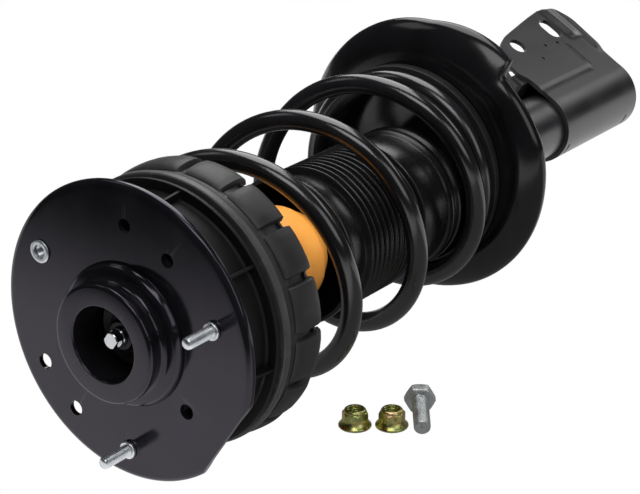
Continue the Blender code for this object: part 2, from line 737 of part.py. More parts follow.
def make_finishes():
    material("cutter", (1, 0, 1), 1)
    return {
        "gloss_black": material("gloss_black", (0.012, 0.012, 0.014), 0.25),
        "satin_black": material("satin_black", (0.018, 0.018, 0.02), 0.42),
        "powder_coat": material("powder_coat", (0.02, 0.02, 0.022), 0.35),
        "filled_plastic": material("filled_plastic", (0.018, 0.018, 0.02), 0.45),
        "rubber": material("rubber", (0.025, 0.025, 0.027), 0.75),
        "dark_plastic": material("dark_plastic", (0.015, 0.015, 0.016), 0.5),
        "orange_foam": material("orange_foam", (0.85, 0.38, 0.06), 0.45),
        "zinc": material("zinc", (0.62, 0.64, 0.65), 0.35, 1),
        "yellow_zinc": material("yellow_zinc", (0.5, 0.42, 0.16), 0.35, 1),
        "steel": material("steel", (0.4, 0.4, 0.41), 0.4, 1),
        "bare_steel": material("bare_steel", (0.5, 0.5, 0.5), 0.35, 1),
        "chrome": material("chrome", (0.65, 0.66, 0.68), 0.15, 1),
    }


def main():
    clear_scene()
    finishes = make_finishes()
    top = empty("top_mount_frame")
    swivel = empty("steering_axis", top)
    travel = empty("travel_axis", swivel)

    mount_plate(top, finishes)
    mount_boss(top, finishes)
    for i, (radius, angle) in enumerate(STUDS):
        stud(f"mount_stud_{i + 1}", top, finishes, radius, angle)
    threaded_insert(top, finishes)
    housing(top, finishes)
    rod_fastening(top, finishes)
    upper_race(top, finishes)
    piston_rod(top, finishes)
    piston(top, finishes)
    bump_stop(top, finishes)

    bearing_cage(swivel, finishes)
    lower_race(swivel, finishes)
    upper_seat(swivel, finishes)
    upper_insulator(swivel, finishes)
    coil_spring(swivel, finishes)
    dust_boot(swivel, finishes)

    strut_tube(travel, finishes)
    damper_insides(travel, finishes)
    lower_seat(travel, finishes)
    lower_insulator(travel, finishes)
    knuckle_bracket(travel, finishes)
    bracket_brace(travel, finishes)

    for i, (x, y) in enumerate(NUT_PLACES):
        place = empty(f"nut_{i + 1}_place", None, (x, y, FLOOR_Z))
        place.rotation_euler = (0, 0, math.radians(20 + 25 * i))
        flange_nut(f"flange_nut_{i + 1}", place, finishes)
    place = empty("bolt_place", None, (*BOLT_PLACE, FLOOR_Z + BOLT_AXIS_HEIGHT))
    place.rotation_euler = (0, BOLT_PITCH, BOLT_TURN)
    loose_bolt(place, finishes)


main()
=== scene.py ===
"""The finished look of the suspension strut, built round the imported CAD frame.

The strut's axis is the X axis. Lengths inside the shape functions are millimetres, as their names
or notes say, and everything that reaches Blender is metres.
"""

import math

import bmesh
import bpy
from mathutils import Euler, Matrix, Vector

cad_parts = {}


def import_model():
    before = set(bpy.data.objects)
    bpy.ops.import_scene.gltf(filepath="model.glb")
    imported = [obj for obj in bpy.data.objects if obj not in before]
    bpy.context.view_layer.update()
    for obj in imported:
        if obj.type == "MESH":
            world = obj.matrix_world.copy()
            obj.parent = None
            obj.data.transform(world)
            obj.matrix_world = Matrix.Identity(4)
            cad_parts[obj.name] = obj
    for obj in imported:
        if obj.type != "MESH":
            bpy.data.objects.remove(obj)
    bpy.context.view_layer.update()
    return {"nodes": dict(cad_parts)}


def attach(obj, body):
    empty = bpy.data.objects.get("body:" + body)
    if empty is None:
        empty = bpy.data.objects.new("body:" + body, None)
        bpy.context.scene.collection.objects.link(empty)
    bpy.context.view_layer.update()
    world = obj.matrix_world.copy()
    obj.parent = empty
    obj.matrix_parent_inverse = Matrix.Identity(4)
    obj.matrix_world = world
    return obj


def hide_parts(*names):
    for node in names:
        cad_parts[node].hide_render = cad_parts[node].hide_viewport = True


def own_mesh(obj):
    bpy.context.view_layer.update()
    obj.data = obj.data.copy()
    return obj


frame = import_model()

MM = 0.001
TAU = math.tau

# Places and sizes that follow the CAD, in millimetres
PLATE_RADIUS = 97
BOSS_RADIUS = 38.4
BOSS_BORE = 24.3
STUD_RADIUS = 3.9
STUD_REACH = 24.5
STUDS = ((72.3, math.radians(163.2)), (78.0, math.radians(-90.2)))
INSERT = (77.0, math.radians(29.7))
PLATE_HOLES = (
    (70.8, math.radians(92.4), 4.6),
    (66.7, math.radians(122.3), 4.6),
    (61.1, math.radians(-140.9), 5.0),
    (77.5, math.radians(-28.5), 5.2),
    (76.3, math.radians(-55.2), 5.0),
)
CHORD_DISTANCE = 91
CHORD_ANGLE = math.radians(-146.3)
HOUSING_RADIUS = 80
FLANGE_RADIUS = 87.5
GUSSETS = 8
GUSSET_ANGLE = math.radians(10)
SPRING_RADIUS = 79
WIRE_RADIUS = 6.9
LEAN_SLOPE = 0.069
LEAN_ANGLE = math.radians(51.2)
LEAN_START_X = 85
START_ANGLE = math.radians(148.3)
FIRST_TURN = -1.3
OPEN_FROM = -0.75
CLOSED_FROM = 2.05
LAST_TURN = 3.4
BLEND_TURNS = 0.35
CLOSED_PITCH = 15
OPEN_PITCH = 80
OPEN_FROM_X = 72.4
END_RADIUS = 69
TAPER_FROM = 1.95
TAPER_TURNS = 0.8
UPPER_SEAT_X = 43
INSULATOR_X = 50.3
LOBES = 16
TAB_ANGLE = math.radians(65)
TAB_RISE = 19.5
RIM_CENTRE = (6.2, 19.1)
RIM_RADIUS = 101
RIM_SLOPE = 0.6
LOBE_START = 92
LOBE_STEP = 131
LOBE_END = 166
LOBE_RISE = 5.8
LOBE_DIP = 4
PAD_FLOOR_X = 324.2
ROD_RADIUS = 10
BUMP_START_X = 40.4
BUMP_RADIUS = 34
BOOT_START_X = 165
BOOT_LENGTH = 138
BOOT_RIBS = 12
TUBE_START_X = 277
TUBE_LENGTH = 315
TUBE_RADIUS = 24.9
TUBE_WALL = 2.2
BRACKET_ANGLE = math.radians(30)
BRACKET_RADIUS = 28.6
BRACKET_SHEET = 3.4
BRACKET_OUTLINE = (
    (489, -32), (489, 26), (484, 34), (487, 50), (492, 61), (509, 70), (561, 79), (594, 83),
    (604, 61), (602, 38.5), (600, 13.6), (600, -32),
)
BRACKET_CORNERS = [0, 5, 5, 9, 9, 14, 30, 9, 6, 9, 12, 0]
BOLT_HOLES = ((516, 58, 0), (571, 61, 7))
BOLT_HOLE_RADIUS = 7.4
SMALL_HOLES = ((545, 48), (527, 38), (561, 46))
SMALL_HOLE_RADIUS = 1.5
SLITS_X = (495, 588)
SLIT_ANGLE = math.radians(212)
FLOOR_Z = -97
NUT_PLACES = ((138.6, -73.2), (152.8, -92.7))
BOLT_PLACE = (184, -93.6)
BOLT_TURN = math.radians(216.3)
BOLT_PITCH = math.radians(6)
BOLT_AXIS_HEIGHT = 10
BOLT_RADIUS = 5.6
BOLT_HEAD_FLATS = 18.2
BOLT_HEAD_HEIGHT = 7.4
NUT_FLATS = 15.5

# Softboxes round the strut's middle: name, direction, distance and size in metres, radiance
SOFTBOXES = (
    ("back_top", (0.36, 0.26, 0.90), 1.4, (1.0, 1.9), 3.4),
    ("back_right", (0.80, -0.30, 0.52), 1.6, (0.9, 0.45), 1.6),
    ("top_left", (-0.30, 0.60, 0.74), 1.5, (0.5, 0.4), 0.9),
    ("front_right", (-0.25, -1.0, 0.55), 1.6, (0.8, 0.9), 1.4),
    ("front_top", (-0.58, -0.30, 0.75), 1.5, (0.8, 0.6), 3.2),
)
FOAM_KEY = ("foam_key", (-0.40, -0.50, 0.77), 1.1, (0.5, 0.5), 11.0)


# --- mesh helpers --------------------------------------------------------------------------------


def polar(radius, angle):
    return radius * math.cos(angle), radius * math.sin(angle)


def smooth_step(low, high, value):
    share = min(1, max(0, (value - low) / (high - low)))
    return share * share * (3 - 2 * share)


def rounded(points, size, steps=4):
    """The closed outline with each corner rounded. A size is one number, or one for each corner."""
    sizes = size if isinstance(size, (list, tuple)) else [size] * len(points)
    out = []
    for i, corner in enumerate(points):
        here = Vector(corner)
        before = Vector(points[i - 1]) - here
        after = Vector(points[(i + 1) % len(points)]) - here
        reach = min(sizes[i], before.length * 0.45, after.length * 0.45)
        straight = abs(before.normalized().dot(after.normalized())) > 0.9999
        if reach < 1e-6 or straight:
            out.append(tuple(here))
            continue
        start = here + before.normalized() * reach
        end = here + after.normalized() * reach
        for j in range(steps + 1):
            t = j / steps
            out.append(tuple(start * (1 - t) ** 2 + here * 2 * t * (1 - t) + end * t * t))
    return out


def new_object(name, bm, finish, smooth_angle=35):
    bmesh.ops.remove_doubles(bm, verts=bm.verts, dist=1e-6)
    bmesh.ops.recalc_face_normals(bm, faces=bm.faces)
    mesh = bpy.data.meshes.new(name)
    bm.to_mesh(mesh)
    bm.free()
    mesh.shade_smooth()
    mesh.set_sharp_from_angle(angle=math.radians(smooth_angle))
    if finish:
        mesh.materials.append(finish)
    made = bpy.data.objects.new(name, mesh)
    bpy.context.scene.collection.objects.link(made)
    return made


def ring_mesh(loops, closed=True):
    """A bmesh from loops of equal length, in millimetres. If closed, its last loop joins its first."""
    bm = bmesh.new()
    rows = [[bm.verts.new(Vector(p) * MM) for p in loop] for loop in loops]
    pairs = zip(rows, rows[1:] + rows[:1]) if closed else zip(rows, rows[1:])
    for first, second in pairs:
        count = len(first)
        for i in range(count):
            j = (i + 1) % count
            bm.faces.new((first[i], first[j], second[j], second[i]))
    if not closed:
        bm.faces.new(rows[0][::-1])
        bm.faces.new(rows[-1])
    return bm


def lathe_mesh(profile, sides=96, x=0.0):
    """Turns an (x, radius) outline in millimetres round the X axis."""
    bm = bmesh.new()
    rows = []
    for a, radius in profile:
        if radius < 1e-4:
            rows.append([bm.verts.new(((x + a) * MM, 0, 0))])
            continue
        row = []
        for i in range(sides):
            y, z = polar(radius * MM, TAU * i / sides)
            row.append(bm.verts.new(((x + a) * MM, y, z)))
        rows.append(row)
    for first, second in zip(rows, rows[1:] + rows[:1]):
        for i in range(sides):
            j = (i + 1) % sides
            if len(first) == 1 and len(second) == 1:
                break
            if len(first) == 1:
                bm.faces.new((first[0], second[j], second[i]))
            elif len(second) == 1:
                bm.faces.new((first[i], first[j], second[0]))
            else:
                bm.faces.new((first[i], first[j], second[j], second[i]))
    return bm


def lathe(name, profile, finish, sides=96, x=0.0, smooth_angle=35):
    return new_object(name, lathe_mesh(profile, sides, x), finish, smooth_angle)


def add_prism(bm, outline, low, high, place=None):
    """Adds a closed prism, in millimetres: the outline lies in XY and is raised from low to high in Z."""
    place = place or Matrix.Identity(4)
    bottom = [bm.verts.new((place @ Vector((x, y, low))) * MM) for x, y in outline]
    top = [bm.verts.new((place @ Vector((x, y, high))) * MM) for x, y in outline]
    bm.faces.new(bottom[::-1])
    bm.faces.new(top)
    for i in range(len(outline)):
        j = (i + 1) % len(outline)
        bm.faces.new((bottom[i], bottom[j], top[j], top[i]))


def combine(target, bm, operation="DIFFERENCE", smooth_angle=35):
    """Cuts or joins a bmesh with the target, and leaves plain mesh data behind."""
    tool = new_object(target.name + "_tool", bm, None)
    modifier = target.modifiers.new("combine", "BOOLEAN")
    modifier.object = tool
    modifier.operation = operation
    modifier.solver = "EXACT"
    bpy.context.view_layer.update()
    graph = bpy.context.evaluated_depsgraph_get()
    mesh = bpy.data.meshes.new_from_object(target.evaluated_get(graph))
    target.modifiers.clear()
    target.data = mesh
    bpy.data.objects.remove(tool)
    mesh.shade_smooth()
    mesh.set_sharp_from_angle(angle=math.radians(smooth_angle))
    return target


def soften(obj, width, segments=2, angle=38):
    """Rounds the edges a little, so that they catch the light."""
    bevel = obj.modifiers.new("edges", "BEVEL")
    bevel.width = width * MM
    bevel.segments = segments
    bevel.limit_method = "ANGLE"
    bevel.angle_limit = math.radians(angle)
    bevel.harden_normals = True
    bevel.use_clamp_overlap = True
    return obj


def place(obj, matrix):
    obj.data.transform(matrix)
    obj.data.update()
    return obj


# Both turn a prism so that it is raised along X. ALONG_X also keeps its outline's axes as Y and Z.
X_UP = Matrix.Rotation(math.radians(90), 4, "Y")
ALONG_X = Matrix(((0, 0, 1, 0), (1, 0, 0, 0), (0, 1, 0, 0), (0, 0, 0, 1)))


def round_outline(radius, sides=40):
    return [polar(radius, TAU * i / sides) for i in range(sides)]


def thread_mesh(radius, depth, pitch, start, end, sides=40, chamfer=1.2, steps=8):
    """A threaded shank along X, from its chamfered start to its end, in millimetres."""
    rows = max(4, round((end - start) / pitch * steps))
    loops = []
    for i in range(rows + 1):
        x = start + (end - start) * i / rows
        fade = smooth_step(start, start + 1.2 * chamfer, x)
        limit = radius - chamfer * 0.8 * (1 - min(1, (x - start) / chamfer))
        loop = []
        for j in range(sides):
            turn = (x / pitch - j / sides) % 1
            groove = abs(turn - 0.5) * 2
            cut = depth * smooth_step(0.15, 0.95, groove) * (0.25 + 0.75 * fade)
            size = min(limit, radius - cut)
            loop.append((x, *polar(size, TAU * j / sides)))
        loops.append(loop)
    return ring_mesh(loops, closed=False)


# --- materials -----------------------------------------------------------------------------------


class Recipe:
    """Short names for the nodes that every material here uses."""

    def __init__(self, name):
        self.material = bpy.data.materials.new(name)
        self.material.use_nodes = True
        self.nodes = self.material.node_tree.nodes
        self.links = self.material.node_tree.links
        self.shader = self.nodes["Principled BSDF"]
        self.coords = self.nodes.new("ShaderNodeTexCoord").outputs["Object"]

    def noise(self, scale, detail=4, rough=0.55, stretch=None, distortion=0.0):
        node = self.nodes.new("ShaderNodeTexNoise")
        node.inputs["Scale"].default_value = scale
        node.inputs["Detail"].default_value = detail
        node.inputs["Roughness"].default_value = rough
        node.inputs["Distortion"].default_value = distortion
        source = self.coords
        if stretch:
            mapping = self.nodes.new("ShaderNodeMapping")
            mapping.inputs["Scale"].default_value = stretch
            self.links.new(self.coords, mapping.inputs["Vector"])
            source = mapping.outputs["Vector"]
        self.links.new(source, node.inputs["Vector"])
        return node.outputs["Fac"]

    def cells(self, scale):
        node = self.nodes.new("ShaderNodeTexVoronoi")
        node.inputs["Scale"].default_value = scale
        self.links.new(self.coords, node.inputs["Vector"])
        return node.outputs["Distance"]

    def ramp(self, value, stops):
        node = self.nodes.new("ShaderNodeValToRGB")
        elements = node.color_ramp.elements
        while len(elements) < len(stops):
            elements.new(0.5)
        for element, (position, colour) in zip(elements, stops):
            element.position = position
            element.color = (*colour, 1)
        self.links.new(value, node.inputs["Fac"])
        return node.outputs["Color"]

    def spread(self, value, low, high, start=0.3, end=0.7):
        node = self.nodes.new("ShaderNodeMapRange")
        node.inputs["From Min"].default_value = start
        node.inputs["From Max"].default_value = end
        node.inputs["To Min"].default_value = low
        node.inputs["To Max"].default_value = high
        self.links.new(value, node.inputs["Value"])
        return node.outputs["Result"]

    def mix(self, share, first, second):
        node = self.nodes.new("ShaderNodeMix")
        node.data_type = "RGBA"
        self.links.new(share, node.inputs["Factor"])
        for value, socket in ((first, node.inputs[6]), (second, node.inputs[7])):
            if isinstance(value, tuple):
                socket.default_value = (*value, 1)
            else:
                self.links.new(value, socket)
        return node.outputs[2]

    def add(self, first, second, weight=1.0):
        node = self.nodes.new("ShaderNodeMath")
        node.operation = "MULTIPLY_ADD"
        self.links.new(second, node.inputs[0])
        node.inputs[1].default_value = weight
        self.links.new(first, node.inputs[2])
        return node.outputs[0]

    def edges(self, start, end):
        """How much a place is an outer edge, from the shape itself."""
        node = self.nodes.new("ShaderNodeNewGeometry")
        return self.spread(node.outputs["Pointiness"], 0, 1, start, end)

    def bump(self, height, strength, distance_mm):
        node = self.nodes.new("ShaderNodeBump")
        node.inputs["Strength"].default_value = strength
        node.inputs["Distance"].default_value = distance_mm * MM
        self.links.new(height, node.inputs["Height"])
        self.links.new(node.outputs["Normal"], self.shader.inputs["Normal"])

    def finish(self, colour, rough, metallic=0.0, specular=0.5):
        self.links.new(colour, self.shader.inputs["Base Color"])
        self.links.new(rough, self.shader.inputs["Roughness"])
        self.shader.inputs["Metallic"].default_value = metallic
        self.shader.inputs["Specular IOR Level"].default_value = specular
        return self.material


def black_paint(name, rough, peel, grey=0.010, spread=0.06, specular=0.5, tint=(1, 1, 1)):
    """Black paint over steel: orange peel, faint cloudiness, a few dust specks and worn edges."""
    r = Recipe(name)
    cloud = r.noise(28, 5)
    fine = r.noise(900, 2)
    peel_noise = r.noise(420, 3)
    dark = (grey * 0.6, grey * 0.58, grey * 0.66)
    light = (grey * 1.35, grey * 1.3, grey * 1.55)
    base = r.mix(r.spread(cloud, 0, 1), dark, light)
    specks = r.spread(r.noise(1500, 1), 0, 0.35, 0.74, 0.80)
    base = r.mix(specks, base, (0.10, 0.10, 0.105))
    base = r.mix(r.spread(r.edges(0.53, 0.60), 0, 0.30, 0, 1), base, (0.11, 0.11, 0.115))
    roughness = r.spread(r.add(cloud, fine, 0.35), rough - spread, rough + spread, 0.45, 0.9)
    r.bump(r.add(peel_noise, fine, 0.3), peel, 0.25)
    r.shader.inputs["Specular Tint"].default_value = (*tint, 1)
    return r.finish(base, roughness, specular=specular)


def moulded(name, grey, rough, grain, grain_scale, dust=0.06, specular=0.5):
    """Black moulded rubber or plastic with a fine grain and some dusty bloom."""
    r = Recipe(name)
    cloud = r.noise(22, 6, 0.6)
    fine = r.noise(grain_scale, 3, 0.65)
    dark = (grey * 0.6,) * 3
    light = (grey * 1.5, grey * 1.5, grey * 1.55)
    base = r.mix(r.spread(cloud, 0, 1), dark, light)
    bloom = r.spread(r.noise(75, 8, 0.7), 0, 0.5, 0.56, 0.75)
    base = r.mix(bloom, base, (dust, dust, dust * 1.02))
    base = r.mix(r.spread(r.edges(0.53, 0.62), 0, 0.25, 0, 1), base, (0.09, 0.09, 0.09))
    roughness = r.spread(r.add(cloud, fine, 0.4), rough - 0.08, rough + 0.10, 0.45, 0.95)
    r.bump(r.add(fine, cloud, 0.2), grain, 0.3)
    return r.finish(base, roughness, specular=specular)


def plated(name, colours, rough, streak=None, bump=0.15):
    """Plated or ground steel. The colours run over the surface in soft patches."""
    r = Recipe(name)
    patch = r.noise(95, 5, 0.6, distortion=0.6)
    fine = r.noise(1300, 3, 0.6, stretch=streak)
    steps = [(0.28 + 0.44 * i / (len(colours) - 1), colour) for i, colour in enumerate(colours)]
    base = r.ramp(patch, steps)
    stain = tuple(channel * 0.45 for channel in colours[0])
    base = r.mix(r.spread(r.noise(260, 4), 0, 0.55, 0.58, 0.72), base, stain)
    roughness = r.spread(r.add(patch, fine, 0.5), rough - 0.08, rough + 0.14, 0.4, 1.0)
    r.bump(fine, bump, 0.12)
    return r.finish(base, roughness, metallic=1.0)


def orange_foam():
    """Smooth-skinned foam: a soft sheen, faint pores and warmer patches."""
    r = Recipe("orange_foam")
    cloud = r.noise(30, 5)
    base = r.mix(r.spread(cloud, 0, 1), (0.86, 0.33, 0.045), (0.97, 0.43, 0.085))
    pores = r.spread(r.cells(950), 0, 1, 0.0, 0.16)
    base = r.mix(pores, (0.62, 0.21, 0.03), base)
    roughness = r.spread(r.add(cloud, r.noise(600, 3), 0.4), 0.42, 0.60, 0.45, 0.9)
    r.bump(r.add(pores, r.noise(260, 4), 0.5), 0.12, 0.15)
    r.shader.inputs["Subsurface Weight"].default_value = 0.10
    r.shader.inputs["Subsurface Radius"].default_value = (0.004, 0.002, 0.001)
    return r.finish(base, roughness)


FINISHES = {
    "gloss_black": black_paint("gloss_black", 0.13, 0.04, 0.010, 0.04, tint=(0.89, 0.81, 1)),
    "seat_black": black_paint("seat_black", 0.16, 0.05, 0.008, 0.05),
    "satin_black": black_paint("satin_black", 0.32, 0.09, 0.012, specular=1.0),
    "powder_coat": black_paint("powder_coat", 0.20, 0.10, 0.010, 0.04, 0.9),
    "filled_plastic": moulded("filled_plastic", 0.010, 0.46, 0.16, 900, 0.03),
    "housing_black": moulded("housing_black", 0.004, 0.55, 0.12, 900, 0.010, 0.25),
    "seat_plastic": moulded("seat_plastic", 0.048, 0.44, 0.60, 620, 0.15),
    "rubber": moulded("rubber", 0.016, 0.50, 0.22, 520, 0.05),
    "boot_plastic": moulded("boot_plastic", 0.007, 0.27, 0.06, 420, 0.025),
    "dark_plastic": moulded("dark_plastic", 0.012, 0.5, 0.2, 700, 0.04),
    "orange_foam": orange_foam(),
    "zinc": plated("zinc", ((0.50, 0.53, 0.56), (0.68, 0.71, 0.74), (0.82, 0.84, 0.86)), 0.28),
    "dull_zinc": plated(
        "dull_zinc", ((0.46, 0.48, 0.48), (0.60, 0.62, 0.62), (0.72, 0.74, 0.74)), 0.38, bump=0.3
    ),
    "yellow_zinc": plated(
        "yellow_zinc",
        (
            (0.24, 0.12, 0.06), (0.52, 0.44, 0.12), (0.42, 0.50, 0.18), (0.86, 0.70, 0.26),
            (0.60, 0.34, 0.26),
        ),
        0.26,
    ),
    "steel": plated("steel", ((0.34, 0.34, 0.35), (0.46, 0.46, 0.47)), 0.34, (1, 12, 12)),
    "bare_steel": plated("bare_steel", ((0.40, 0.40, 0.40), (0.54, 0.54, 0.54)), 0.36, (1, 12, 12)),
    "black_oxide": plated("black_oxide", ((0.03, 0.03, 0.032), (0.05, 0.05, 0.055)), 0.34),
    "chrome": plated("chrome", ((0.60, 0.61, 0.63), (0.70, 0.71, 0.73)), 0.14, (12, 1, 1), 0.04),
}


def settle(obj, body, slot, *nodes):
    """Gives the finished piece its body and hides the CAD nodes that it stands for. The slot argument is
    not used.
    """
    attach(obj, body)
    if nodes:
        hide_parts(*nodes)
    return obj


# --- top mount -----------------------------------------------------------------------------------


def mount_plate():
    """The round plate. The rings across its face keep the face's shading flat."""
    rim = PLATE_RADIUS
    bore = BOSS_BORE + 1.1
    profile = rounded(
        [
            (0, bore), (0, 27), (0, 45), (0, 60), (0, 75), (0, 90), (0, rim - 2.6), (1.8, rim),
            (5, rim), (5, rim - 2.4), (3.5, rim - 4), (3.5, bore),
        ],
        [0.4, 0, 0, 0, 0, 0, 2.6, 1.5, 0.8, 0.8, 0.8, 0.4],
        5,
    )
    plate = lathe("mount_plate_look", profile, FINISHES["gloss_black"], 240)
    tool = bmesh.new()
    holes = list(PLATE_HOLES)
    holes += [(radius, angle, STUD_RADIUS + 0.7) for radius, angle in STUDS]
    holes.append((*INSERT, 6.3))
    for radius, angle, size in holes:
        y, z = polar(radius, angle)
        add_prism(tool, round_outline(size, 48), -10, 20, Matrix.Translation((0, y, z)) @ X_UP)
    box = ((CHORD_DISTANCE, -100), (120, -100), (120, 100), (CHORD_DISTANCE, 100))
    add_prism(tool, box, -10, 20, Matrix.Rotation(CHORD_ANGLE, 4, "X") @ ALONG_X)
    combine(plate, tool)
    soften(plate, 0.45, 3)
    settle(plate, "top_mount", "gloss_black", "mount_plate")


def mount_boss():
    """The collar: a stepped foot, a neck and a rounded lip."""
    lip = BOSS_RADIUS
    neck = lip - 2.4
    profile = rounded(
        [
            (-0.3, BOSS_BORE), (-0.3, 46.5), (-2.2, 46.2), (-5.4, 44.4), (-6.2, 38.2), (-8.2, neck),
            (-12, neck), (-14.2, lip), (-20, lip), (-20, BOSS_BORE + 0.6), (-19.2, BOSS_BORE),
        ],
        [0.3, 0.4, 1.4, 1.8, 1.6, 1.6, 1.6, 1.6, 3.0, 0.6, 0.6],
        6,
    )
    boss = lathe("mount_boss_look", profile, FINISHES["gloss_black"], 200)
    settle(boss, "top_mount", "gloss_black", "mount_boss")


def stud(name, node, radius, angle):
    y, z = polar(radius, angle)
    shank = thread_mesh(STUD_RADIUS, 0.75, 1.5, -STUD_REACH, -2.4, 48)
    made = new_object(name, shank, FINISHES["zinc"], 60)
    neck, flange = STUD_RADIUS + 0.3, STUD_RADIUS + 2
    collar = [(-2.9, 0), (-2.9, 5.4), (-2.2, flange), (-0.3, flange), (-0.3, neck), (3.9, neck), (3.9, 0)]
    combine(made, lathe_mesh(rounded(collar, 0.3), 48), "UNION", 60)
    head = [(3.8, 0), (3.8, 7.5), (7.4, 7.5), (7.4, 0)]
    combine(made, lathe_mesh(rounded(head, 0.4), 48), "UNION", 60)
    place(made, Matrix.Translation((0, y * MM, z * MM)))
    settle(made, "top_mount", "zinc", node)


def threaded_insert():
    y, z = polar(*INSERT)
    profile = [(-1.6, 4.6), (-1.6, 6.9), (-1.1, 7.6), (-0.3, 7.6), (-0.3, 5.9), (10, 5.9), (10, 4.1)]
    profile = rounded(profile, 0.5)
    threads, pitch = 7, 1.25
    for i in range(threads):
        x = 9.4 - i * pitch
        profile += [(x, 4.05), (x - 0.6, 4.6)]
    made = lathe("threaded_insert_look", profile, FINISHES["zinc"], 64)
    place(made, Matrix.Translation((0, y * MM, z * MM)))
    settle(made, "top_mount", "zinc", "threaded_insert")


def bearing_housing():
    """The pan under the plate, with gussets from its hub to its flange."""
    hub, flange, bore = HOUSING_RADIUS, FLANGE_RADIUS, BOSS_BORE + 1
    profile = rounded(
        [
            (3.9, bore), (3.9, 56), (11, 58), (11, hub), (35.4, hub), (37, hub + 1), (37, flange),
            (40, flange), (40, 60), (37.2, 58), (37.2, 34), (40, 32), (40, bore),
        ],
        [0.3, 1, 1, 2, 1.2, 0.6, 0.7, 0.7, 0.6, 0.6, 0.6, 0.6, 0.6],
    )
    made = lathe("bearing_housing_look", profile, FINISHES["housing_black"], 180)
    tool = bmesh.new()
    for i in range(GUSSETS):
        turn = Matrix.Rotation(GUSSET_ANGLE + TAU * i / GUSSETS, 4, "X")
        gusset = ((13, hub - 3), (13, hub + 3), (38, flange - 1.5), (38, hub - 3))
        add_prism(tool, gusset, -1, 1, turn)
    combine(made, tool, "UNION")
    soften(made, 0.3, 2)
    settle(made, "top_mount", "filled_plastic", "bearing_housing")


def rod_fastening():
    """The nut and the rod's faceted tip, which show inside the collar."""
    nut = new_object("rod_nut_look", nut_mesh(18, 7), FINISHES["black_oxide"], 30)
    place(nut, Matrix.Translation((-4 * MM, 0, 0)))
    bore = bmesh.new()
    add_prism(bore, round_outline(6.15, 48), -20, 20, X_UP)
    combine(nut, bore, smooth_angle=30)
    soften(nut, 0.2)
    settle(nut, "top_mount", "zinc", "rod_nut")
    full = ROD_RADIUS
    profile = [(-13, 0), (-13, 4.9), (-12.4, 5.4), (-7, 5.4), (-6.4, 6), (33.5, 6), (33.5, full - 0.6)]
    profile += [(34.1, full), (337.6, full), (338, full - 0.4), (338, 5.6), (362, 5.6), (362, 0)]
    rod = lathe("piston_rod_look", profile, FINISHES["chrome"], 72)
    flats = bmesh.new()
    for i in range(2):
        side = Matrix.Rotation(math.radians(35) + math.pi * i, 4, "X")
        add_prism(flats, ((-16, 4.2), (-16, 12), (-8.5, 12), (-8.5, 4.2)), -12, 12, side)
    combine(rod, flats)
    soften(rod, 0.25)
    settle(rod, "top_mount", "chrome", "piston_rod")


def nut_mesh(flats, height):
    """A hexagon along X, chamfered at both ends."""
    corner = flats / math.sqrt(3)
    drop = corner - flats / 2
    chamfer_depth, chamfer_length = drop * 1.1, drop * 0.9
    sides = 72
    loops = []
    levels = (0.25, 0.5, 0.75, 1.0)
    rows = [(0, -chamfer_depth)]
    rows += [(t * chamfer_length, -chamfer_depth * (1 - t)) for t in levels]
    rows += [(height - t * chamfer_length, -chamfer_depth * (1 - t)) for t in levels[::-1]]
    rows += [(height, -chamfer_depth)]
    for x, cut in rows:
        loop = []
        for i in range(sides):
            angle = TAU * i / sides
            within = (angle + math.pi / 6) % (math.pi / 3) - math.pi / 6
            size = flats / 2 / math.cos(math.pi / 6 - abs(within))
            size = min(size, corner + cut)
            loop.append((x, *polar(size, angle)))
        loops.append(loop)
    return ring_mesh(loops, closed=False)


def bump_stop():
    """A foam sleeve that swells into a dome, with a short neck beyond it."""
    big = BUMP_RADIUS
    bore = ROD_RADIUS + 0.4
    end = 131.6
    profile = [(0, bore), (0, big - 8), (2, big - 6), (58, big - 6), (62, big - 8.4), (66, big - 6.4)]
    dome_steps = 24
    for i in range(dome_steps + 1):
        angle = math.radians(12 + 78 * i / dome_steps)
        profile.append((118 - 50 * math.cos(angle), big * math.sin(angle) ** 0.55))
    profile += [(119.5, big - 0.4), (120.6, big - 1.6), (122, big - 5), (131, big - 7)]
    profile += [(end, big - 9), (end, bore)]
    made = lathe("bump_stop_look", profile, FINISHES["orange_foam"], 144, BUMP_START_X, 50)
    settle(made, "top_mount", "orange_foam", "bump_stop")


# --- spring seat body ----------------------------------------------------------------------------


def upper_seat():
    start = UPPER_SEAT_X
    profile = rounded(
        [
            (start, 66), (start, 88.6), (start + 1.2, 89.5), (start + 5.6, 89.5), (start + 6.6, 88),
            (start + 6.9, 84), (start + 6.9, 61.6), (start + 13, 61.6), (start + 13, 36), (start + 9, 36),
            (start + 9, 57.5), (start + 3, 57.5), (start + 3, 62),
        ],
        0.7,
    )
    made = lathe("upper_spring_seat_look", profile, FINISHES["seat_plastic"], 220)
    settle(made, "spring_seat", "filled_plastic", "upper_spring_seat")


